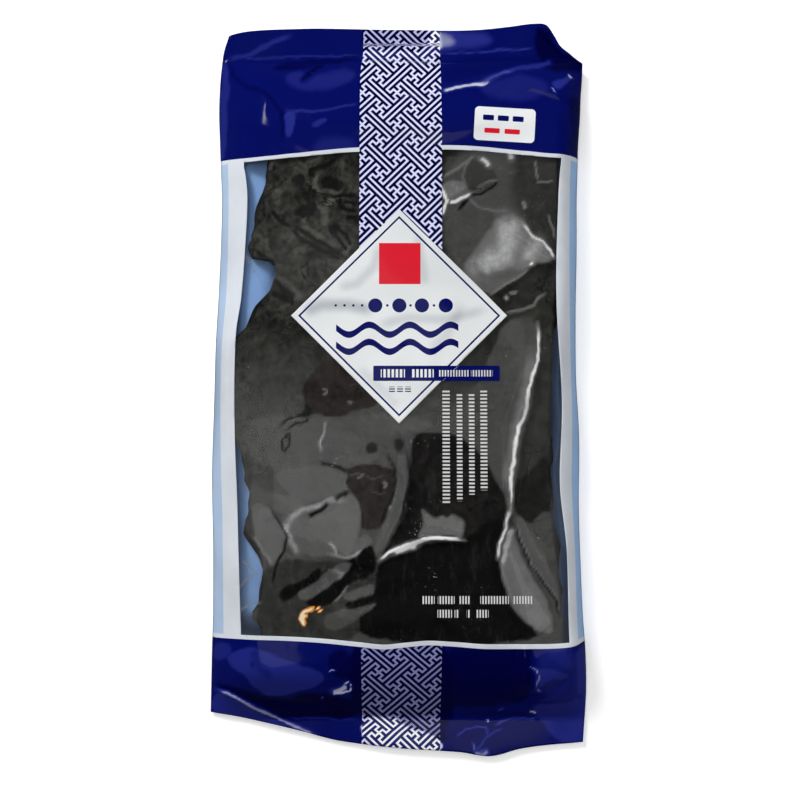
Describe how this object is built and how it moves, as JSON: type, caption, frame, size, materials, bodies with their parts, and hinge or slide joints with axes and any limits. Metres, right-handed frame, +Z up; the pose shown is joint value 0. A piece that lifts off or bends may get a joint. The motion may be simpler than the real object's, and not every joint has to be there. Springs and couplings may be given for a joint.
{
  "type": "bag of dried kelp",
  "caption": "Sealed film bag of dried kelp sheets, lying flat: clear window, dark blue printed ends, fret strip and a white diamond label.",
  "frame": {"origin": "on the table, under the middle of the bag's outline", "axes": "+X across the bag to the right of its front, +Y from the bottom seal to the top seal, +Z up out of the front"},
  "size_m": [0.1783, 0.352, 0.0277],
  "materials": {
    "printed_film": "printed glossy film, dark blue with white borders",
    "clear_film": "clear crinkled film",
    "kelp": "dry leathery seaweed, olive black"
  },
  "bodies": {
    "root": {"kelp_bag": "printed_film"}
  },
  "joints": []
}
